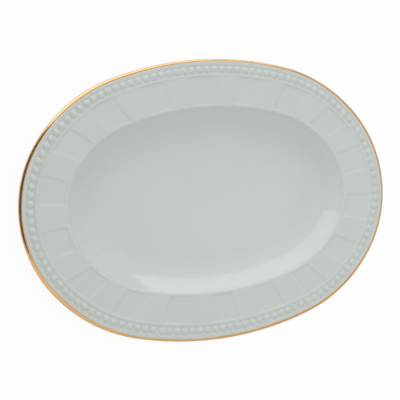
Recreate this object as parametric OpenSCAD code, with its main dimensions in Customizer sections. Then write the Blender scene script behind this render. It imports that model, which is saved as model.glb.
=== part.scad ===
// An oval china serving platter with a sunk well, a flat rim and moulded relief.
// The outline is an eight-centre oval: two end arcs, four shoulder arcs and two side arcs.
// Every other line of the platter runs parallel to the outline, at an inset that is
// measured inwards from the outer edge. Z = 0 is the surface that the foot ring stands on.

/* [Outline] */
// Length over the gilt edge, along X
platter_l = 350; // [320:1:400]
// Width over the gilt edge, along Y
platter_w = 248; // [236:1:280]
// Radius of the two end arcs of the outline
end_r = 106; // [100:0.5:112]

/* [Well] */
// Depth of the well below the top of the rim
well_depth = 18; // [15:0.5:26]
// Thickness of the body in the well, and of the rim at its inner edge
body_t = 4.2; // [3.6:0.1:6]
// Slope of the well's wall from the horizontal, in degrees
wall_slope = 45; // [40:1:52]
// Radius of the shoulder where the rim turns down into the well
shoulder_r = 3; // [2:0.5:5]
// Radius under the shoulder, on the outside of the wall
under_r = 7; // [5:0.5:9]
// Radius where the wall runs out into the flat floor
floor_r = 30; // [22:0.5:33]

/* [Rim] */
// Thickness of the rounded lip at the outer edge
lip_t = 3.2; // [2.4:0.1:3.6]
// Width of the plain strip from the outer edge to the bead channel
lip_strip = 5.4; // [4:0.1:7]
// Depth of the bead channel and of the sunk panels
relief = 0.5; // [0.4:0.1:1.2]
// Run of the slope from the plain strip down into the bead channel
channel_slope = 0.8; // [0.4:0.1:1.2]
// Width of the plain strip between the panels and the shoulder
inner_strip = 1; // [0.6:0.1:4]

/* [Beads] */
// Width of a bead
bead_w = 5.6; // [4:0.1:6]
// Height of a bead above the channel
bead_h = 1.5; // [1:0.1:2.4]
// Spacing of the beads, which the row rounds to a whole number of beads
bead_pitch = 7.3; // [6.8:0.1:9]
// Clear width between a bead and the outer side of its channel
bead_gap = 0.5; // [0.3:0.1:1.5]
// Distance of the first bead past the long axis
bead_start = -1.6; // [-3.6:0.1:3.6]
// How far round the row its wide closing bead is, as a share of the row
closing_place = 0.683; // [0:0.001:0.95]
// Width of the closing bead, and its neighbour, as shares of an ordinary bead's width
closing_wide = 1.15; // [1:0.05:1.15]
closing_narrow = 0.75; // [0.6:0.05:1]

/* [Fillet] */
// Clear width between a bead and the raised line
fillet_gap = 1; // [0.3:0.1:1.5]
// Width of the raised line inside the beads
fillet_w = 2.5; // [1.2:0.1:3]
// Height of the raised line above the channel
fillet_h = 0.8; // [0.6:0.1:2]

/* [Panels] */
// Number of raised panels round the rim, with as many sunk panels between them
panel_count = 18; // [10:2:30]
// Length of a panel, across the rim
panel_l = 24; // [16:0.1:26]

/* [Foot] */
// Height of the underside of the floor above the table
foot_h = 3.2; // [2:0.1:5]
// Width of the foot ring where it meets the body
foot_w = 5; // [3:0.1:6]
// Width of the flat tread that the platter stands on
foot_tread = 3; // [1.5:0.1:3]
// Distance of the foot ring's middle outside the edge of the flat floor
foot_back = 4.8; // [4:0.1:7]

/* [Gilding] */
// Thickness of the gilt band, drawn thicker than fired gold so that it is a solid
gilt_t = 0.2; // [0.1:0.05:0.3]
// Width of the gilt band as seen from above
gilt_w = 2.7; // [2.2:0.1:3.8]

/* [Hidden] */

china = "#c8ccc8";
gold = "#c99a5b";
bisque = "#d5cfc2";

// Headings, from the long axis, at which the end arc gives way to the shoulder arc, and the
// shoulder arc to the side arc. They are angles of the 3-4-5 and the 7-24-25 triangle.
end_join = atan2(3, 4);
side_join = atan2(24, 7);

function direction(heading) = [cos(heading), sin(heading)];

// The shoulder arc's radius is the one that gives the platter its width.
half_l = platter_l / 2;
half_w = platter_w / 2;
side_share = (1 - sin(side_join)) / cos(side_join);
width_short = half_w - end_r - (half_l - end_r) * side_share;
shoulder_arc_r = end_r + width_short / (1 - sin(end_join) - cos(end_join) * side_share);
end_centre = [half_l - end_r, 0];
shoulder_centre = end_centre - (shoulder_arc_r - end_r) * direction(end_join);
side_arc_r = shoulder_arc_r + shoulder_centre.x / cos(side_join);
side_centre = shoulder_centre - (side_arc_r - shoulder_arc_r) * direction(side_join);

// One half of the outline: the centre and radius of each arc, and the headings of its ends
HALF_OUTLINE = [
    [end_centre, end_r, -end_join, end_join],
    [shoulder_centre, shoulder_arc_r, end_join, side_join],
    [side_centre, side_arc_r, side_join, 180 - side_join],
    [[shoulder_centre.x, -shoulder_centre.y], shoulder_arc_r, -side_join, -end_join],
];

// The wedges that cut the arcs out: their reach, their spare height above and below, and the
// angle, in degrees, by which each runs past its arc's ends
wedge_reach = 4 * platter_l;
wedge_lap = well_depth / 4;
join_lap = 0.001;

// Insets of the rim's features, from the outer edge inwards
lip_r = lip_t / 2;
lip_mid = gilt_t + lip_r;
channel_out = lip_strip + channel_slope;
bead_line = channel_out + bead_gap + bead_w / 2;
fillet_line = bead_line + bead_w / 2 + fillet_gap + fillet_w / 2;
panel_out = fillet_line + fillet_w / 2;
panel_in = panel_out + panel_l;
shoulder_line = panel_in + inner_strip;
under_line = shoulder_line - (body_t + under_r - shoulder_r) * tan(wall_slope / 2);

// Steps along each curved side of a panel
panel_steps = 10;

// Heights
floor_z = foot_h + body_t;
rim_z = floor_z + well_depth;
seat_z = rim_z - relief;

// The well's wall: how far it drops in a straight line, and where the flat floor starts
arc_drop = (shoulder_r + floor_r) * (1 - cos(wall_slope));
arc_run = (shoulder_r + floor_r) * sin(wall_slope);
floor_line = shoulder_line + arc_run + (well_depth - arc_drop) / tan(wall_slope);
floor_arc_z = floor_z + floor_r;
outer_arc_r = floor_r + body_t;
under_arc_z = rim_z - body_t - under_r;

// The wall's section runs into the flat floor, where the floor's plate laps it
plate_lap = 2;
plate_line = floor_line + 2 * plate_lap;
plate_steps = 60;

// The foot ring's top follows the underside of the body between these two slopes
foot_line = floor_line - foot_back;
foot_slope_in = asin((foot_back - foot_w / 2) / outer_arc_r);
foot_slope_out = asin((foot_back + foot_w / 2) / outer_arc_r);
foot_steps = 4;

// Slopes in equal steps from one to another, the first left out, so that runs join up
function slopes(from, to, steps) = [for (i = [1:steps]) from + (to - from) * i / steps];

// Points on an arc in a section, one for each slope, where 0 is level. A section's X is minus
// the inset. Side 1 is the top half of the arc's circle and side -1 its bottom half.
function section_arc(inset, z, r, side, slopes) =
    [for (slope = slopes) [-inset - side * r * sin(slope), z + side * r * cos(slope)]];

// A heading turned into the first quadrant, and the outline's arc that it falls on
function folded(heading) =
    let (half = (heading + 360) % 180)
    half > 90 ? 180 - half : half;
function arc_at(fold) = HALF_OUTLINE[fold < end_join ? 0 : fold < side_join ? 1 : 2];

// The point of the parallel oval at an inset where its outward normal has a heading
function oval_point(heading, inset) =
    let (fold = folded(heading), arc = arc_at(fold),
         at = arc[0] + (arc[1] - inset) * direction(fold))
    [cos(heading) < 0 ? -at.x : at.x, sin(heading) < 0 ? -at.y : at.y];

// Length of a quarter of the parallel oval, and the heading at a distance along it from the
// long axis, counterclockwise
function arc_length(r, sweep) = r * sweep * PI / 180;
function end_run(inset) = arc_length(end_r - inset, end_join);
function shoulder_run(inset) = arc_length(shoulder_arc_r - inset, side_join - end_join);
function quarter(inset) =
    end_run(inset) + shoulder_run(inset) + arc_length(side_arc_r - inset, 90 - side_join);
function turned(run, r) = run / r * 180 / PI;
function quarter_heading(run, inset) =
    let (past_end = run - end_run(inset), past_shoulder = past_end - shoulder_run(inset))
    past_end < 0 ? turned(run, end_r - inset)
    : past_shoulder < 0 ? end_join + turned(past_end, shoulder_arc_r - inset)
    : side_join + turned(past_shoulder, side_arc_r - inset);
function heading_at(run, inset) =
    let (whole = 4 * quarter(inset), along = (run + whole) % whole,
         k = floor(along / quarter(inset)), rest = along - k * quarter(inset))
    k % 2 == 0 ? k * 90 + quarter_heading(rest, inset)
    : (k + 1) * 90 - quarter_heading(quarter(inset) - rest, inset);

// Points on the parallel oval at an inset, from one share of the way round it to another
function oval_points(from, to, steps, inset) =
    let (whole = 4 * quarter(inset))
    [for (i = [0:steps]) oval_point(heading_at((from + (to - from) * i / steps) * whole, inset), inset)];

// Carries a section, drawn with X = minus the inset and Y = height, round the whole oval.
// Each arc is a full turn of the section, cut to a wedge that runs join_lap past the arc's two
// ends, so that rounding can't part two arcs. The section is the same on both sides of a join.
module around() {
    for (turn = [0, 180])
        rotate(turn)
            for (arc = HALF_OUTLINE)
                translate(arc[0])
                    intersection() {
                        rotate_extrude($fn = 180)
                            translate([arc[1], 0])
                                children();
                        translate([0, 0, -wedge_lap])
                            linear_extrude(rim_z + 2 * wedge_lap)
                                polygon([[0, 0], wedge_reach * direction(arc[2] - join_lap),
                                         wedge_reach * direction(arc[3] + join_lap)]);
                    }
}

// The sunk middle: shoulder, sloping wall and flat floor
module well() {
    under_slopes = concat([foot_slope_in], slopes(foot_slope_in, foot_slope_out, foot_steps),
                          slopes(foot_slope_out, wall_slope, 6));
    color(china) {
        around()
            polygon(concat(
                section_arc(shoulder_line, rim_z - shoulder_r, shoulder_r, 1,
                            concat([0], slopes(0, wall_slope, 6))),
                section_arc(floor_line, floor_arc_z, floor_r, -1,
                            concat([wall_slope], slopes(wall_slope, wall_slope / 10, 9))),
                [[-floor_line, floor_z], [-plate_line, floor_z]],
                [[-plate_line, foot_h], [-floor_line, foot_h]],
                section_arc(floor_line, floor_arc_z, outer_arc_r, -1, under_slopes),
                section_arc(under_line, under_arc_z, under_r, 1,
                            concat([wall_slope], slopes(wall_slope, 0, 8)))
            ));
        translate([0, 0, foot_h])
            linear_extrude(body_t)
                polygon(oval_points(0, 1 - 1 / plate_steps, plate_steps - 1, floor_line + plate_lap));
    }
}

// The flat ring round the well, with its rounded lip, bead channel and sunk panel band
module rim() {
    color(china)
        around()
            polygon(concat(
                section_arc(lip_mid, rim_z - lip_r, lip_r, 1, concat([-180], slopes(-180, 0, 12))),
                [[-lip_strip, rim_z], [-channel_out, seat_z]],
                [[-panel_in, seat_z], [-panel_in, rim_z], [-shoulder_line, rim_z]],
                [[-under_line, rim_z - body_t], [-panel_out, rim_z - body_t]]
            ));
}

// Every second panel stands up from the rim's sunk band. One is centred on each end of the
// long axis. A panel spans the same share of its outer line as of its inner line, so its sides
// lean towards the middle of the platter.
module raised_panels() {
    color(china)
        translate([0, 0, seat_z])
            linear_extrude(relief)
                for (k = [0:panel_count - 1]) {
                    from = (k - 0.25) / panel_count;
                    to = (k + 0.25) / panel_count;
                    polygon(concat(oval_points(from, to, panel_steps, panel_out),
                                   oval_points(to, from, panel_steps, panel_in)));
                }
}

// A round-topped bead that stands on the channel: a cap cut from a ball
module bead(width) {
    ball_r = (width * width / 4 + bead_h * bead_h) / (2 * bead_h);
    difference() {
        translate([0, 0, bead_h - ball_r])
            sphere(ball_r, $fn = 48);
        translate([0, 0, -ball_r])
            cube(2 * ball_r, center = true);
    }
}

// The row of beads in its channel, which closes with a wide bead and a narrow one
module bead_border() {
    row = 4 * quarter(bead_line);
    count = round(row / bead_pitch);
    closing = round(closing_place * count);
    color(china)
        for (k = [0:count - 1]) {
            share = k == closing ? closing_wide : k == closing + 1 ? closing_narrow : 1;
            at = oval_point(heading_at(bead_start + k * row / count, bead_line), bead_line);
            translate([at.x, at.y, seat_z])
                bead(bead_w * share);
        }
}

// The raised line between the beads and the panels
module bead_fillet() {
    color(china)
        around()
            polygon([for (a = [0:22.5:180])
                [-fillet_line - fillet_w / 2 * cos(a), seat_z + fillet_h * sin(a)]]);
}

// The ring under the well that the platter stands on
module foot_ring() {
    color(bisque)
        around()
            polygon(concat(
                section_arc(floor_line, floor_arc_z, outer_arc_r, -1,
                            concat([foot_slope_in], slopes(foot_slope_in, foot_slope_out, foot_steps))),
                [[-foot_line + foot_tread / 2, 0], [-foot_line - foot_tread / 2, 0]]
            ));
}

// The band of gold that wraps the lip
module gilt_band() {
    around_lip = concat([-180], slopes(-180, 0, 12));
    color(gold)
        around()
            polygon(concat(
                section_arc(lip_mid, rim_z - lip_r, lip_r + gilt_t, 1, around_lip),
                [[-gilt_w, rim_z + gilt_t], [-gilt_w, rim_z]],
                section_arc(lip_mid, rim_z - lip_r, lip_r, 1, concat([0], slopes(0, -180, 12)))
            ));
}

well();
rim();
raised_panels();
bead_border();
bead_fillet();
foot_ring();
gilt_band();
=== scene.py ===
# An oval china serving platter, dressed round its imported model. Lengths are in metres. An inset
# is measured inwards from the gilt edge, and a share is a place on the way round the oval, from
# the right-hand tip counterclockwise, as in the part's source.
import bpy
import numpy as np
from mathutils import Matrix, Vector
from mathutils.bvhtree import BVHTree


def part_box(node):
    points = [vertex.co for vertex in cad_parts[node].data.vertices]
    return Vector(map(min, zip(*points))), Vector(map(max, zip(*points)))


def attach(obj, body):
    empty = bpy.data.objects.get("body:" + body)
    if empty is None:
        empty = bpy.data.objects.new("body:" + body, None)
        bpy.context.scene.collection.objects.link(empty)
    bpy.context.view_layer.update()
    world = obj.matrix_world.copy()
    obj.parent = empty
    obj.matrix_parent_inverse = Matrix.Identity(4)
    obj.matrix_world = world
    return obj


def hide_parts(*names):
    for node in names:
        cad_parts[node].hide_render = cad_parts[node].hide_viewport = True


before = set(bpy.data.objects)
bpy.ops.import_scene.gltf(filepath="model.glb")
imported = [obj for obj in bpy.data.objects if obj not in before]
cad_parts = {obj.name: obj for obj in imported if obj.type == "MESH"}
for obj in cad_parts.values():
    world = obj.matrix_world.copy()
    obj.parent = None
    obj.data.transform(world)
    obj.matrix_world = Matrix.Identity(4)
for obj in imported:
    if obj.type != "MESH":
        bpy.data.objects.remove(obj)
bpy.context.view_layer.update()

mm = 0.001


# ---- The photograph's view ------------------------------------------------------------------
# The platter is seen from about a metre away, and about 22 degrees to the left of straight
# above. The camera's place was fitted to the photographed outline and row of beads. Its lens
# and sensor are in millimetres.

view_w, view_h = 400, 400
camera_place = Vector((-387.5 * mm, 26.9 * mm, 938.1 * mm))
camera_aim = Vector((-12.25 * mm, 0.45 * mm, 23.8 * mm))
camera_roll = np.radians(-5.9)
camera_lens = 101.0
camera_sensor = 36.0

# Where things show in the photograph: the object's left and right x and its top and bottom y,
# then the middle of each feature
edge_points = {"left": 19.0, "right": 382.5, "top": 59.0, "bottom": 341.0}
wide_bead_point = (163, 329.5)
narrow_bead_point = (169.5, 330)
bead_points = {"tip_right": (374, 189), "tip_left": (31, 205), "side_top": (192.5, 70), "side_bottom": (208, 330)}
shoulder_points = {"right": (345.5, 184), "left": (67, 215.5), "top": (203.5, 104.5), "bottom": (223, 293)}
panel_line_points = {"top": (213.5, 90), "left": (51.5, 205)}

camera_data = bpy.data.cameras.new("photograph_camera")
camera_data.sensor_fit = "AUTO"
camera_data.sensor_width = camera_sensor
camera_data.lens = camera_lens
camera = bpy.data.objects.new("photograph_camera", camera_data)
bpy.context.scene.collection.objects.link(camera)
bpy.context.scene.camera = camera

looking = (camera_aim - camera_place).normalized()
level_right = looking.cross(Vector((0, 1, 0))).normalized()
level_up = level_right.cross(looking)
camera_right = level_right * np.cos(camera_roll) + level_up * np.sin(camera_roll)
camera_up = camera_right.cross(looking)
camera_axes = Matrix((camera_right, camera_up, -looking)).transposed()
camera.matrix_world = Matrix.Translation(camera_place) @ camera_axes.to_4x4()

view_long = max(view_w, view_h)
view_depth = view_long * camera_lens / camera_sensor


def place(point, tree):
    """The place in view at an image point: where the ray through that point meets the tree's
    surface, or, where it misses, the surface's nearest place to the ray."""
    ray = Vector((point[0] - view_w / 2 + camera_data.shift_x * view_long,
                  view_h / 2 - point[1] + camera_data.shift_y * view_long, -view_depth))
    ray = (camera_axes @ ray).normalized()
    hit = tree.ray_cast(camera_place, ray)[0]
    if hit is not None:
        return hit
    near = camera_aim
    for _ in range(8):
        near = tree.find_nearest(camera_place + ray * (near - camera_place).dot(ray))[0]
    return near


def seen_at(places):
    """Image x and y of places, which is place() run backwards: their distances along the
    camera's right and up, divided by their depth and scaled to the image."""
    local = (np.asarray(places) - np.array(camera_place)) @ np.array(camera_axes)
    x = view_w / 2 - camera_data.shift_x * view_long - view_depth * local[..., 0] / local[..., 2]
    y = view_h / 2 + camera_data.shift_y * view_long + view_depth * local[..., 1] / local[..., 2]
    return np.stack([x, y], -1)


# ---- The china body -------------------------------------------------------------------------
# One piece of bone china, jiggered over a mould that gives the rim its relief, then glazed. It
# is the well and the rim, with the sunk and raised panels and the line inside the beads. The
# glaze rounds every edge and fills every corner a little.

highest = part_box("gilt_band")[1]
half_l, half_w = highest.x, highest.y
end_r = 106 * mm
end_join, side_join = np.arctan2(3, 4), np.arctan2(24, 7)
side_share = (1 - np.sin(side_join)) / np.cos(side_join)
width_short = half_w - end_r - (half_l - end_r) * side_share
shoulder_arc_r = end_r + width_short / (1 - np.sin(end_join) - np.cos(end_join) * side_share)
end_centre = np.array([half_l - end_r, 0])
shoulder_centre = end_centre - (shoulder_arc_r - end_r) * np.array([np.cos(end_join), np.sin(end_join)])
side_arc_r = shoulder_arc_r + shoulder_centre[0] / np.cos(side_join)
side_centre = np.array([0, shoulder_centre[1] - (side_arc_r - shoulder_arc_r) * np.sin(side_join)])

arc_centres = np.array([end_centre, shoulder_centre, side_centre])
arc_radii = np.array([end_r, shoulder_arc_r, side_arc_r])
arc_ends = np.array([0, end_join, side_join, np.pi / 2])


def way_round(inset):
    """Length of the parallel oval at an inset: four times its three arcs, radius times sweep."""
    return 4 * ((arc_radii - np.asarray(inset)[..., None]) * np.diff(arc_ends)).sum(-1)


def oval(share, inset):
    """Points of the parallel oval at an inset, and the heading of its outward normal there. A
    share is folded into a quarter, run along the end, shoulder and side arcs to its heading,
    put at the arc's centre plus its radius in that heading, and mirrored back."""
    share, inset = np.broadcast_arrays(share, inset)
    quarters = np.mod(share, 1) * 4
    number = np.floor(quarters).astype(int) % 4
    part = quarters - np.floor(quarters)
    run = np.where(number % 2 == 0, part, 1 - part) * way_round(inset) / 4
    radii = arc_radii - inset[..., None]
    runs = np.cumsum(radii * np.diff(arc_ends), -1)
    arc = (run > runs[..., 0]).astype(int) + (run > runs[..., 1])
    before = np.where(arc == 0, 0, np.where(arc == 1, runs[..., 0], runs[..., 1]))
    heading = arc_ends[arc] + (run - before) / (arc_radii[arc] - inset)
    x = arc_centres[arc, 0] + (arc_radii[arc] - inset) * np.cos(heading)
    y = arc_centres[arc, 1] + (arc_radii[arc] - inset) * np.sin(heading)
    left = (number == 1) | (number == 2)
    low = number >= 2
    x, y = np.where(left, -x, x), np.where(low, -y, y)
    heading = np.where(left, np.pi - heading, heading)
    return x, y, np.where(low, -heading, heading)


rim_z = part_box("rim")[1].z
seat_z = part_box("raised_panels")[0].z
under_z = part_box("well")[0].z
relief = rim_z - seat_z
body_t = 4.2 * mm
floor_z = under_z + body_t
lip_out = 0.2 * mm
lip_over, lip_under = 3.8 * mm, 1.8 * mm
lip_drop, lip_t = 2.2 * mm, 3.2 * mm
strip_end = 5.4 * mm
channel_slope = 0.8 * mm
fillet_w = 2.5 * mm
fillet_line = half_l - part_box("bead_fillet")[1].x + fillet_w / 2
fillet_outer, fillet_inner = 3 * mm, 2.2 * mm
fillet_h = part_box("bead_fillet")[1].z - seat_z
panel_out = half_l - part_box("raised_panels")[1].x
panel_l, inner_strip = 24 * mm, 1 * mm
panel_in = panel_out + panel_l
shoulder_line = panel_in + inner_strip
shoulder_r = 3 * mm
floor_r = 30 * mm
wall_slope = np.radians(45)
wall_top, wall_foot = np.radians([45.5, 42.5])
wall_drop = rim_z - floor_z - shoulder_r * (1 - np.cos(wall_top)) - floor_r * (1 - np.cos(wall_foot))
wall_r = wall_drop / (np.cos(wall_foot) - np.cos(wall_top))
wall_centre = shoulder_line + (shoulder_r + wall_r) * np.sin(wall_top)
floor_line = wall_centre - (wall_r - floor_r) * np.sin(wall_foot)
panel_count = 18
soft_side, soft_end = 2.5 * mm, 1.6 * mm
well_off = -0.7 * mm, -0.45 * mm


def soft_step(distance, width):
    """0 before a line and 1 past it, with a smooth S over the width."""
    t = np.clip(distance / width + 0.5, 0, 1)
    return t * t * (3 - 2 * t)


def off_side_line(share):
    """Distance from the nearest side line of a raised panel, measured half way down the panels,
    positive inside a raised panel: a panel spans a quarter of its pitch to either side."""
    place_in_pitch = np.mod(share * panel_count + 0.5, 1) - 0.5
    return (0.25 - np.abs(place_in_pitch)) * way_round((panel_out + panel_in) / 2) / panel_count


def rim_height(share, inset):
    """Height of the rim's face: level, less the sunk channel and panels, and raised to the top of
    the line inside the beads, whose section is a wave of a cosine."""
    raised = soft_step(off_side_line(share), soft_side)
    past_panels = soft_step(inset - panel_in, soft_end)
    in_band = soft_step(inset - fillet_line, soft_end)
    before_channel = 1 - soft_step(inset - strip_end - channel_slope / 2, soft_end)
    level = 1 - (1 - past_panels) * (1 - raised * in_band) * (1 - before_channel)
    field = seat_z + relief * level
    reach = np.where(inset < fillet_line, fillet_outer, fillet_inner)
    off_line = (inset - fillet_line) / reach
    line = (1 + np.cos(np.pi * np.clip(off_line, -1, 1))) / 2
    return field + (seat_z + fillet_h - field) * line


def lip(turns, proud=0):
    """Insets and heights round the lip, from 0 on its top through 90 degrees at the edge to 180
    beneath: a quarter of one ellipse above and of another below, set proud of the clay."""
    above = turns < np.pi / 2
    reach = np.where(above, lip_over, lip_under)
    rise = np.where(above, lip_drop, lip_t - lip_drop)
    inset = reach - (reach - lip_out + proud) * np.sin(turns)
    return np.stack([inset, rim_z - lip_drop + (rise + proud) * np.cos(turns)], -1)


def section_arc(inset, height, radius, side, slopes):
    """Insets and heights on an arc of a section, one for each slope, where 0 is level."""
    insets = inset + side * radius * np.sin(slopes)
    return np.stack([insets, height + side * radius * np.cos(slopes)], -1)


def around_line(line, offsets):
    """Places on both sides of a line, and on it."""
    return np.concatenate([line - np.array(offsets)[::-1], [line], line + np.array(offsets)])


def new_piece(name, vertices, faces):
    """A smooth piece in the scene, from its vertices and faces."""
    mesh = bpy.data.meshes.new(name)
    mesh.from_pydata(vertices, [], faces)
    mesh.shade_smooth()
    mesh.update()
    piece = bpy.data.objects.new(name, mesh)
    bpy.context.scene.collection.objects.link(piece)
    return piece


def ring_mesh(name, points, capped):
    """A closed mesh from a grid of points, rows by columns. The columns close into a ring. The
    rows close into a ring too, or, when capped, each end row closes on its own middle."""
    rows, columns = points.shape[:2]
    index = np.arange(rows * columns).reshape(rows, columns)
    here = index if not capped else index[:-1]
    below = np.roll(index, -1, 0)[:len(here)]
    quads = np.stack([here, below, np.roll(below, -1, 1), np.roll(here, -1, 1)], -1).reshape(-1, 4)
    vertices = points.reshape(-1, 3)
    faces = quads.tolist()
    if capped:
        middles = np.array([points[0].mean(0), points[-1].mean(0)])
        top, bottom = len(vertices), len(vertices) + 1
        vertices = np.concatenate([vertices, middles])
        after = np.roll(index, -1, 1)
        faces += np.stack([np.full(columns, top), index[0], after[0]], -1).tolist()
        faces += np.stack([np.full(columns, bottom), after[-1], index[-1]], -1).tolist()
    return new_piece(name, vertices.tolist(), faces)


# Columns stand close together at each side line and wider apart between. Side lines are half a
# panel pitch apart, and the last column stands half way to the next one
half_panel = way_round((panel_out + panel_in) / 2) / panel_count / 4
column_offsets = np.array([0.25, 0.5, 0.75, 1, 1.25, 2.2, 3.8, 6, 8.4]) * mm
columns = np.concatenate([around_line(0, column_offsets), [half_panel]])
columns = columns / (4 * half_panel * panel_count)
side_lines = (np.arange(2 * panel_count) + 0.5) / (2 * panel_count)
column_shares = (side_lines[:, None] + columns).ravel()

# Rows of the rim's face, from the shoulder out to where the lip begins to turn over. They stand
# close together on the raised line and at each edge that the glaze softens
edge_rows = np.array([0.2, 0.4, 0.6, 0.8]) * mm
face_insets = np.unique(np.concatenate([
    np.linspace(lip_over, strip_end - soft_end / 4, 4),
    around_line(strip_end + channel_slope / 2, edge_rows),
    [8 * mm, 10 * mm],
    np.linspace(fillet_line - fillet_outer, fillet_line + fillet_inner, 19),
    np.linspace(fillet_line + fillet_inner + 1 * mm, panel_in - 1.4 * mm, 9),
    around_line(panel_in, edge_rows),
]))[::-1]

# The well's section: the floor's arc, a wall that is a little hollow, and the shoulder. The
# well's middle lies off the outline's, and the panels take up the shift between them
wall_z = rim_z - shoulder_r + (shoulder_r + wall_r) * np.cos(wall_top)
well_section = np.concatenate([
    section_arc(floor_line, floor_z + floor_r, floor_r, -1, wall_foot * np.linspace(0, 1, 15)),
    section_arc(wall_centre, wall_z, wall_r, -1, np.linspace(wall_foot, wall_top, 7)[1:]),
    section_arc(shoulder_line, rim_z - shoulder_r, shoulder_r, 1, wall_top * np.linspace(0.96, 0, 9)),
])
share_grid, inset_grid = np.meshgrid(column_shares, np.concatenate([well_section[:, 0], face_insets]))
x, y, _ = oval(share_grid, inset_grid)
well_shift = soft_step(inset_grid - (fillet_line + panel_in) / 2, panel_in - fillet_line)
x, y = x + well_off[0] * well_shift, y + well_off[1] * well_shift
z = rim_height(share_grid, inset_grid)
z[:len(well_section)] = well_section[:, 1:]
face = np.stack([x, y, z], -1)

# The floor's rings are the floor's edge drawn in towards the middle
floor_shares = np.linspace(0.04, 0.96, 9)[:, None, None]
floor_rings = face[0] * [1, 1, 0] * floor_shares + [0, 0, floor_z]

# The lip and the underside, to the edge of the flat floor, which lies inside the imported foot
# ring
under_r = 7 * mm
under_line = shoulder_line - (body_t + under_r - shoulder_r) * np.tan(wall_slope / 2)
outer_r = floor_r + body_t
foot_half = 2.5 * mm
foot_back = 4.8 * mm
foot_line = half_l + foot_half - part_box("foot_ring")[1].x
under_floor_line = foot_line + foot_back
under_section = np.concatenate([
    lip(np.radians(np.linspace(8, 180, 19))),
    np.linspace([panel_out, rim_z - body_t], [under_line, rim_z - body_t], 4),
    section_arc(under_line, rim_z - body_t - under_r, under_r, 1, wall_slope * np.linspace(0.14, 1, 7)),
    section_arc(under_floor_line, floor_z + floor_r, outer_r, -1, wall_slope * np.linspace(1, 0, 13)),
])
under_insets, under_heights = under_section[:, :1], under_section[:, 1:]
x, y, _ = oval(column_shares[None], under_insets)
underside = np.stack([x, y, np.broadcast_to(under_heights, x.shape)], -1)
under_rings = underside[-1] * [1, 1, 0] * floor_shares[::-2] + [0, 0, under_z]

body = ring_mesh("china_body", np.concatenate([floor_rings, face, underside, under_rings]), True)
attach(body, "root")
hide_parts("well", "rim", "raised_panels", "bead_fillet")


def colour(code):
    """An sRGB hex colour as linear red, green and blue, and full alpha."""
    shares = np.array([int(code[i:i + 2], 16) for i in (1, 3, 5)]) / 255
    linear = np.where(shares <= 0.04045, shares / 12.92, ((shares + 0.055) / 1.055) ** 2.4)
    return (*linear.tolist(), 1.0)


def add(tree, kind, values=None, links=None):
    """Adds a node. Values go to its properties or inputs, and links bring outputs to inputs."""
    node = tree.nodes.new(kind)
    for key, value in (values or {}).items():
        if isinstance(key, str) and hasattr(node, key):
            setattr(node, key, value)
        else:
            node.inputs[key].default_value = value
    for key, output in (links or {}).items():
        tree.links.new(output, node.inputs[key])
    return node


def new_material(name):
    """An empty material and its node tree."""
    material = bpy.data.materials.new(name)
    material.use_nodes = True
    material.node_tree.nodes.clear()
    return material, material.node_tree


# Glazed bone china: a slightly cool white body under a clear glaze, fired glossy. The body's
# tone clouds a little over a few centimetres. The rim is a trace darker than the well: painted
# shade, to meet the photograph under this scene's light. The glaze is never quite flat.
cloud_size = 45 * mm
wave_size = 9 * mm
rim_shade_low, rim_shade_high = 21 * mm, 25 * mm
glazed_china, tree = new_material("glazed_bone_china")
coordinates = add(tree, "ShaderNodeTexCoord").outputs["Object"]
cloud = add(tree, "ShaderNodeTexNoise", {"Scale": 1 / cloud_size, "Detail": 3.0},
            {"Vector": coordinates})
wave = add(tree, "ShaderNodeTexNoise", {"Scale": 1 / wave_size, "Detail": 1.0},
           {"Vector": coordinates})
tone = add(tree, "ShaderNodeMix", {"data_type": "RGBA", 6: colour("#c6cbc7"), 7: colour("#cad0cb")},
           {0: cloud.outputs["Fac"]})
height = add(tree, "ShaderNodeSeparateXYZ", {}, {"Vector": coordinates}).outputs["Z"]
# Painted shade: between 21 and 25 mm up, the tone is multiplied a trace darker, and the rim above stays so
rim_painted_shade = add(tree, "ShaderNodeMapRange", {1: rim_shade_low, 2: rim_shade_high}, {0: height})
tone = add(tree, "ShaderNodeMix", {"data_type": "RGBA", "blend_type": "MULTIPLY", 7: colour("#f9faf9")},
           {0: rim_painted_shade.outputs[0], 6: tone.outputs[2]})
unevenness = add(tree, "ShaderNodeBump", {"Strength": 0.25, "Distance": 0.05 * mm},
                 {"Height": wave.outputs["Fac"]})
shader = add(tree, "ShaderNodeBsdfPrincipled", {"Roughness": 0.05, "IOR": 1.5},
             {"Base Color": tone.outputs[2], "Normal": unevenness.outputs["Normal"]})
add(tree, "ShaderNodeOutputMaterial", {}, {"Surface": shader.outputs["BSDF"]})
body.data.materials.append(glazed_china)


# ---- The bead border ------------------------------------------------------------------------
# Round beads of the same clay, pressed out of the mould in a sunk channel near the lip. The
# row closes with a wide bead and a narrow one, at the lower left. The glaze runs down between
# them, so that each foot is soft.

bead_line = 9.5 * mm
bead_pitch = 7.3 * mm
bead_start = -1.6 * mm
bead_along, bead_across = 3.6 * mm, 3.7 * mm
bead_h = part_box("bead_border")[1].z - seat_z
bead_sides = 12
bead_rings = np.array([0.25, 0.5, 0.7, 0.86, 1])
fullness = 1.2
sunk_ring, sunk_depth = 1.04, 0.15 * mm
closing_wide, closing_narrow = 1.15, 0.75

row_length = float(way_round(bead_line))
bead_count = round(row_length / bead_pitch)
bead_shares = bead_start / row_length + np.arange(bead_count) / bead_count
bead_widths = np.ones(bead_count)

# The two closing beads are placed from the photograph
tree_of_body = BVHTree.FromObject(body, bpy.context.evaluated_depsgraph_get())
fine_shares = np.linspace(0, 1, 4000, endpoint=False)
fine_x, fine_y, _ = oval(fine_shares, bead_line)


def share_at(point):
    """The share of the bead line that lies nearest to an image point."""
    near = place(point, tree_of_body)
    return fine_shares[np.argmin((fine_x - near.x) ** 2 + (fine_y - near.y) ** 2)]


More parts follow.
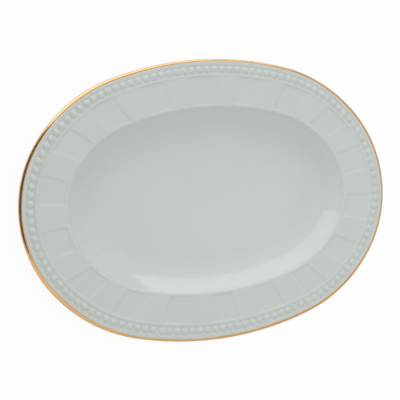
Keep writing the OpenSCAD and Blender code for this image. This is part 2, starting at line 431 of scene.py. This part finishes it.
closing = int(np.argmin(np.abs(bead_shares - share_at(wide_bead_point))))
bead_shares[closing] = share_at(wide_bead_point)
bead_shares[closing + 1] = share_at(narrow_bead_point)
bead_widths[closing], bead_widths[closing + 1] = closing_wide, closing_narrow


def bead_grid(shares, widths):
    """Rings of points on every bead: rings by beads by sides. At a part of its half width a bead
    is as high as one less that part's square, to the power of its fullness, so its foot runs out
    softly. The last ring is sunk into the clay."""
    centre_x, centre_y, heading = oval(shares, bead_line)
    height = bead_h * (1 - bead_rings ** 2) ** fullness
    parts = np.concatenate([bead_rings, [sunk_ring]])
    height = np.concatenate([height, [-sunk_depth]])
    turn = 2 * np.pi * np.arange(bead_sides) / bead_sides
    out = parts[:, None, None] * bead_across * np.cos(turn)
    along = parts[:, None, None] * widths[:, None] * bead_along * np.sin(turn)
    cos, sin = np.cos(heading)[:, None], np.sin(heading)[:, None]
    x = centre_x[:, None] + out * cos - along * sin
    y = centre_y[:, None] + out * sin + along * cos
    z = np.broadcast_to(seat_z + height[:, None, None], x.shape)
    tops = np.stack([centre_x, centre_y, np.full(len(shares), seat_z + bead_h)], -1)
    return np.stack([x, y, z], -1), tops


rings, tops = bead_grid(bead_shares, bead_widths)
index = np.arange(rings[..., 0].size).reshape(rings.shape[:3])
around = np.roll(index, -1, 2)
quads = np.stack([index[:-1], index[1:], around[1:], around[:-1]], -1).reshape(-1, 4)
top_index = index.size + np.arange(bead_count)[:, None] + np.zeros(bead_sides, int)
caps = np.stack([top_index, index[0], around[0]], -1).reshape(-1, 3)
beads = new_piece("beads", np.concatenate([rings.reshape(-1, 3), tops]).tolist(),
                  quads.tolist() + caps.tolist() + index[-1, :, ::-1].tolist())
beads.data.materials.append(glazed_china)
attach(beads, "root")
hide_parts("bead_border")


# ---- The foot ring --------------------------------------------------------------------------
# A ring turned under the well, of the same clay. Its tread is wiped clean of glaze before the
# firing, so the platter stands on bare matt china.

tread_half = 1.5 * mm
foot_top = floor_z + floor_r - np.sqrt(outer_r ** 2 - foot_back ** 2)
corner = 0.5 * mm

# The ring's section: one side from the tread's rounded corner up to the root, its mirror image,
# and a root on each side that runs out into the underside, which is lower towards the middle
flank = np.array([
    [tread_half - corner, 0], [tread_half - 0.14 * mm, 0.15 * mm], [tread_half, corner],
    [tread_half + 0.25 * mm, 1.1 * mm], [foot_half - 0.3 * mm, foot_top - 1.1 * mm],
])
outer_root = np.array([
    [-foot_half - 0.9 * mm, foot_top + 0.9 * mm], [-foot_half - 0.1 * mm, foot_top - 0.25 * mm],
])
inner_root = np.array([
    [foot_half + 0.1 * mm, foot_top - 0.6 * mm], [foot_half + 0.9 * mm, foot_top + 0.3 * mm],
])
foot_section = np.concatenate([outer_root, flank[::-1] * [-1, 1], flank, inner_root])
foot_shares = np.linspace(0, 1, 480, endpoint=False)
x, y, _ = oval(foot_shares[None], foot_line + foot_section[:, :1])
foot_points = np.stack([x, y, np.broadcast_to(foot_section[:, 1:], x.shape)], -1)
foot = ring_mesh("foot_ring_glazed", foot_points, False)
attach(foot, "root")
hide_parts("foot_ring")

# Bone china bisque: matt, chalky and warmer than the glaze, with the fine grain of fired clay.
# The glaze begins where the tread's corner turns up, along a line that was wiped by hand.
grain_size = 0.6 * mm
wiping_size, wiping_waver = 12 * mm, 0.5 * mm
wiped_height, glazed_height = 0.4 * mm, 0.55 * mm
bisque, tree = new_material("bone_china_bisque")
coordinates = add(tree, "ShaderNodeTexCoord").outputs["Object"]
grain = add(tree, "ShaderNodeTexNoise", {"Scale": 1 / grain_size, "Detail": 4.0},
            {"Vector": coordinates})
wiping = add(tree, "ShaderNodeTexNoise", {"Scale": 1 / wiping_size}, {"Vector": coordinates})
height = add(tree, "ShaderNodeSeparateXYZ", {}, {"Vector": coordinates}).outputs["Z"]
line = add(tree, "ShaderNodeMath", {"operation": "MULTIPLY_ADD", 1: -wiping_waver},
           {0: wiping.outputs["Fac"], 2: height})
glazed = add(tree, "ShaderNodeMapRange", {1: wiped_height, 2: glazed_height}, {0: line.outputs[0]})
tone = add(tree, "ShaderNodeMix", {"data_type": "RGBA", 6: colour("#cfc8ba"), 7: colour("#ddd7cb")},
           {0: grain.outputs["Fac"]})
tone = add(tree, "ShaderNodeMix", {"data_type": "RGBA", 7: colour("#c2c7c3")},
           {0: glazed.outputs[0], 6: tone.outputs[2]})
rough = add(tree, "ShaderNodeMapRange", {3: 0.85, 4: 0.08}, {0: glazed.outputs[0]})
clay = add(tree, "ShaderNodeBump", {"Strength": 0.4, "Distance": 0.05 * mm},
           {"Height": grain.outputs["Fac"]})
shader = add(tree, "ShaderNodeBsdfPrincipled", {"IOR": 1.5},
             {"Base Color": tone.outputs[2], "Roughness": rough.outputs[0],
              "Normal": clay.outputs["Normal"]})
add(tree, "ShaderNodeOutputMaterial", {}, {"Surface": shader.outputs["BSDF"]})
foot.data.materials.append(bisque)


# ---- The gilt band --------------------------------------------------------------------------
# Liquid bright gold, laid round the lip with a brush on a turntable and fired on. It is a thin
# film that wraps the lip, and its inner edge wavers a little, as a hand-drawn line does.

film = 0.14 * mm
gilt_w = 2.8 * mm
gilt_rows = 22

# How much wider than its mean the band is, in millimetres: three slow waves fitted to the
# photographed edge, and three quick ones that are made up, as a brush leaves them
gilt_shares = np.linspace(0, 1, 720, endpoint=False)
once_round = 2 * np.pi * gilt_shares
waver = 0.24 * np.cos(once_round + 0.94) + 0.35 * np.cos(2 * once_round + 0.23)
waver += 0.26 * np.cos(4 * once_round - 2.1)
waver += 0.09 * np.sin(7 * once_round) + 0.09 * np.sin(19 * once_round + 1)
waver += 0.05 * np.sin(43 * once_round + 2)
inner_turn = np.arcsin((lip_over - gilt_w - waver * mm) / (lip_over - lip_out))

# The film thins out at both of its edges, and its back is sunk into the clay
gilt_turns = np.pi + (inner_turn - np.pi) * np.linspace(0, 1, gilt_rows)[:, None]
thickness = film * np.array([0.2, 0.8] + [1] * (gilt_rows - 4) + [0.8, 0.2])[:, None]
gilt_section = np.concatenate([lip(gilt_turns, thickness), lip(gilt_turns[::-1], -film)])
x, y, _ = oval(gilt_shares[None], gilt_section[..., 0])
gilt_points = np.stack([x, y, gilt_section[..., 1]], -1)
gilt = ring_mesh("gilt_edge", gilt_points, False)
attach(gilt, "root")
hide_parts("gilt_band")

# Fired gold on china: a burnished yellow-orange film, thinner and redder in places, with fine
# marks of the brush and of years of wiping.
brush_size = 1.2 * mm
wear_size = 14 * mm
fired_gold, tree = new_material("fired_gold")
coordinates = add(tree, "ShaderNodeTexCoord").outputs["Object"]
brush = add(tree, "ShaderNodeTexNoise", {"Scale": 1 / brush_size, "Detail": 3.0},
            {"Vector": coordinates})
wear = add(tree, "ShaderNodeTexNoise", {"Scale": 1 / wear_size, "Detail": 4.0},
           {"Vector": coordinates})
tone = add(tree, "ShaderNodeMix", {"data_type": "RGBA", 6: colour("#cc9d68"), 7: colour("#e4be88")},
           {0: wear.outputs["Fac"]})
rough = add(tree, "ShaderNodeMapRange", {3: 0.12, 4: 0.3}, {0: brush.outputs["Fac"]})
marks = add(tree, "ShaderNodeBump", {"Strength": 0.2, "Distance": 0.03 * mm},
            {"Height": brush.outputs["Fac"]})
shader = add(tree, "ShaderNodeBsdfPrincipled", {"Metallic": 1.0},
             {"Base Color": tone.outputs[2], "Roughness": rough.outputs[0],
              "Normal": marks.outputs["Normal"]})
add(tree, "ShaderNodeOutputMaterial", {}, {"Surface": shader.outputs["BSDF"]})
gilt.data.materials.append(fired_gold)


# ---- The table and the light ----------------------------------------------------------------
# A white table in a white room, whose reflections are brighter from the left. The camera sees
# both as white. The reflection of a long cool soft box beyond the platter is the bright band in
# the well, and a grey card over the left end is there for the dark line in the gold.

def flat_sheet(name, half_w, half_h):
    """A flat rectangle about the origin, facing up."""
    corners = [(-half_w, -half_h, 0), (half_w, -half_h, 0), (half_w, half_h, 0), (-half_w, half_h, 0)]
    return new_piece(name, corners, [(0, 1, 2, 3)])


table_half = 6.0
table_white = 0.94
table = flat_sheet("table", table_half, table_half)
white_table, tree = new_material("white_table")
paint = add(tree, "ShaderNodeBsdfDiffuse", {"Color": colour("#f4f4f2")})
glow = add(tree, "ShaderNodeEmission", {"Strength": 1.0})
path = add(tree, "ShaderNodeLightPath")
seen = add(tree, "ShaderNodeMath", {"operation": "MULTIPLY", 1: table_white},
           {0: path.outputs["Is Camera Ray"]})
surface = add(tree, "ShaderNodeMixShader", {},
              {0: seen.outputs[0], 1: paint.outputs[0], 2: glow.outputs[0]})
add(tree, "ShaderNodeOutputMaterial", {}, {"Surface": surface.outputs[0]})
table.data.materials.append(white_table)

# The camera sees the room as white. Reflections show it at its sheen, brighter from the left, and
# all its other light comes at one level
room_level = 0.65
room_sheen, room_slope = 0.97, (-0.25, 0.06, 0)
world = bpy.data.worlds.new("white_room")
bpy.context.scene.world = world
world.use_nodes = True
tree = world.node_tree
tree.nodes.clear()
room = add(tree, "ShaderNodeBackground", {"Strength": room_level, "Color": (1, 1, 1, 1)})
backdrop = add(tree, "ShaderNodeBackground", {"Strength": 1.0, "Color": (1, 1, 1, 1)})
direction = add(tree, "ShaderNodeTexCoord").outputs["Generated"]
across = add(tree, "ShaderNodeVectorMath", {"operation": "DOT_PRODUCT", 1: room_slope}, {0: direction})
level = add(tree, "ShaderNodeMath", {1: room_sheen}, {0: across.outputs["Value"]})
walls = add(tree, "ShaderNodeBackground", {"Color": (1, 1, 1, 1)}, {"Strength": level.outputs[0]})
path = add(tree, "ShaderNodeLightPath")
seen = add(tree, "ShaderNodeMath", {"operation": "MAXIMUM"},
           {0: path.outputs["Is Camera Ray"], 1: path.outputs["Is Transmission Ray"]})
mirrored = add(tree, "ShaderNodeMixShader", {},
               {0: path.outputs["Is Glossy Ray"], 1: room.outputs[0], 2: walls.outputs[0]})
surface = add(tree, "ShaderNodeMixShader", {},
              {0: seen.outputs[0], 1: mirrored.outputs[0], 2: backdrop.outputs[0]})
add(tree, "ShaderNodeOutputWorld", {}, {"Surface": surface.outputs[0]})


def face_point(thing, spot, target):
    """Puts a lamp or card at a spot and turns its -Z towards a target."""
    turn = (target - spot).to_track_quat("-Z", "Y").to_matrix().to_4x4()
    thing.matrix_world = Matrix.Translation(spot) @ turn


def flat_lamp(name, width, height, radiance, hidden_from):
    """A rectangular lamp of one radiance all over: its power is pi times its radiance times its
    area. The kind of ray that it is hidden from doesn't see it."""
    data = bpy.data.lights.new(name, "AREA")
    data.shape = "RECTANGLE"
    data.size, data.size_y = width, height
    data.energy = radiance * np.pi * width * height
    lamp = bpy.data.objects.new(name, data)
    setattr(lamp, "visible_" + hidden_from, False)
    bpy.context.scene.collection.objects.link(lamp)
    return lamp


# The soft box stands upright beyond the platter, and the line that it stands on passes nearest
# to the platter's middle at a heading of 125 degrees
box_heading = np.radians(125)
box_near, box_shift = 1.0, 1.7
box_w, box_h = 4.05, 0.9
box_radiance = 1.25
box_out = Vector((np.cos(box_heading), np.sin(box_heading), 0))
box_along = Vector((box_out.y, -box_out.x, 0))
box_middle = box_out * box_near + box_along * box_shift + Vector((0, 0, box_h / 2))
soft_box = flat_lamp("soft_box", box_w, box_h, box_radiance, "camera")
soft_box.data.color = (0.96, 0.99, 1.05)
face_point(soft_box, box_middle, box_middle - box_out)

# A reflector stands to the right, and a lamp hangs over the right half. The glaze shows neither
# of them
side_w, side_h = 1.6, 1.0
side_radiance = 0.36
side_spot = Vector((1.1, 0.1, 0.5))
side = flat_lamp("side_reflector", side_w, side_h, side_radiance, "glossy")
face_point(side, side_spot, Vector((0, 0, 0)))
over_w, over_radiance = 0.5, 1.6
over_spot, over_target = Vector((0.15, -0.12, 0.8)), Vector((0.15, -0.12, 0))
over = flat_lamp("overhead_lamp", over_w, over_w, over_radiance, "glossy")
face_point(over, over_spot, over_target)

# The grey card leans over the platter's left end, and only reflections show it
card_half_w, card_half_h = 120 * mm, 70 * mm
card_middle = Vector((-232 * mm, 48 * mm, 92 * mm))
card_target = Vector((-160 * mm, 20 * mm, 25 * mm))
card = flat_sheet("card", card_half_w, card_half_h)
face_point(card, card_middle, card_target)
for ray in ("camera", "diffuse", "shadow", "transmission", "volume_scatter"):
    setattr(card, "visible_" + ray, False)
grey_card, tree = new_material("grey_card")
shader = add(tree, "ShaderNodeBsdfDiffuse", {"Color": colour("#75726b")})
add(tree, "ShaderNodeOutputMaterial", {}, {"Surface": shader.outputs[0]})
card.data.materials.append(grey_card)

bpy.context.scene.view_settings.view_transform = "Standard"


# ---- How the finished platter meets the image points -----------------------------------------
# How far each thing shows from its image point.

def vertices_of(piece):
    """A piece's vertices as an array."""
    flat = np.empty(len(piece.data.vertices) * 3, np.float32)
    piece.data.vertices.foreach_get("co", flat)
    return flat.reshape(-1, 3)


def miss(point, places):
    """How far in x and y the middle of some places shows from an image point."""
    seen = seen_at(places).reshape(-1, 2)
    middle = (seen.min(0) + seen.max(0)) / 2
    return [round(float(value), 2) for value in middle - np.array(point)]


outline = seen_at(vertices_of(gilt))
reach = {"left": outline[:, 0].min(), "right": outline[:, 0].max(),
         "top": outline[:, 1].min(), "bottom": outline[:, 1].max()}
misses = {"edge_" + name: round(float(reach[name] - point), 2) for name, point in edge_points.items()}
misses["wide_bead"] = miss(wide_bead_point, rings[:-1, closing])
misses["narrow_bead"] = miss(narrow_bead_point, rings[:-1, closing + 1])
tops_seen = seen_at(tops)
for name, point in bead_points.items():
    nearest = int(np.argmin(((tops_seen - point) ** 2).sum(-1)))
    misses["bead_" + name] = miss(point, rings[:-1, nearest])
for (name, point), share in zip(shoulder_points.items(), (0, 0.5, 0.25, 0.75)):
    x, y, _ = oval(share, shoulder_line)
    misses["shoulder_" + name] = miss(point, np.array([[x + well_off[0], y + well_off[1], rim_z]]))
x, y, _ = oval(side_lines, (panel_out + panel_in) / 2)
line_middles = np.stack([x, y, np.full(len(x), rim_z)], -1)
lines_seen = seen_at(line_middles)
for name, point in panel_line_points.items():
    nearest = int(np.argmin(((lines_seen - point) ** 2).sum(-1)))
    misses["panel_line_" + name] = miss(point, line_middles[nearest])
